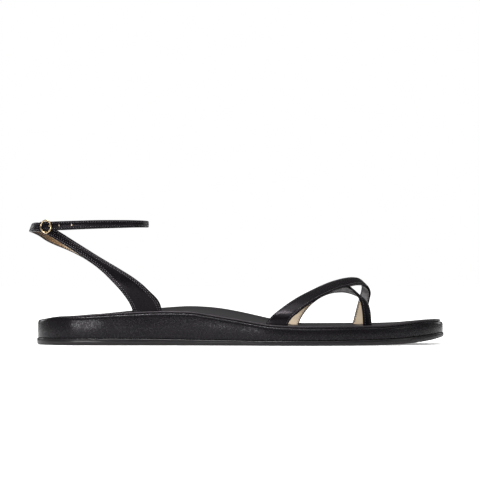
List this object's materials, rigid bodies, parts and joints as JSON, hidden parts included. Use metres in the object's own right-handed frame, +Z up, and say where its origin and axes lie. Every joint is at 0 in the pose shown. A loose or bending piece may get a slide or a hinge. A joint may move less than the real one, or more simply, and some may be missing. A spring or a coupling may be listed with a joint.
{
  "type": "ankle strap sandal",
  "caption": "Flat open sandal with a moulded footbed, two crossing toe straps, a heel strap and a buckled ankle strap.",
  "frame": {"origin": "middle of the bounding box in plan, on the ground that the outsole stands on", "axes": "+X from the heel to the toe, +Y to the medial side, +Z up"},
  "size_m": [0.256, 0.0894, 0.0764],
  "materials": {
    "outsole_rubber": "dull black rubber sheet",
    "sole_leather": "smooth black leather with a soft gloss",
    "insole_leather": "smooth black leather",
    "strap_leather": "fine grained black leather with a soft gloss",
    "gold_metal": "polished pale gold plate"
  },
  "bodies": {
    "root": {"outsole": "outsole_rubber", "midsole": "sole_leather", "insole": "insole_leather", "toe_straps": "strap_leather", "heel_ankle_strap": "strap_leather", "buckle": "gold_metal", "buckle_prong": "gold_metal"}
  },
  "joints": []
}
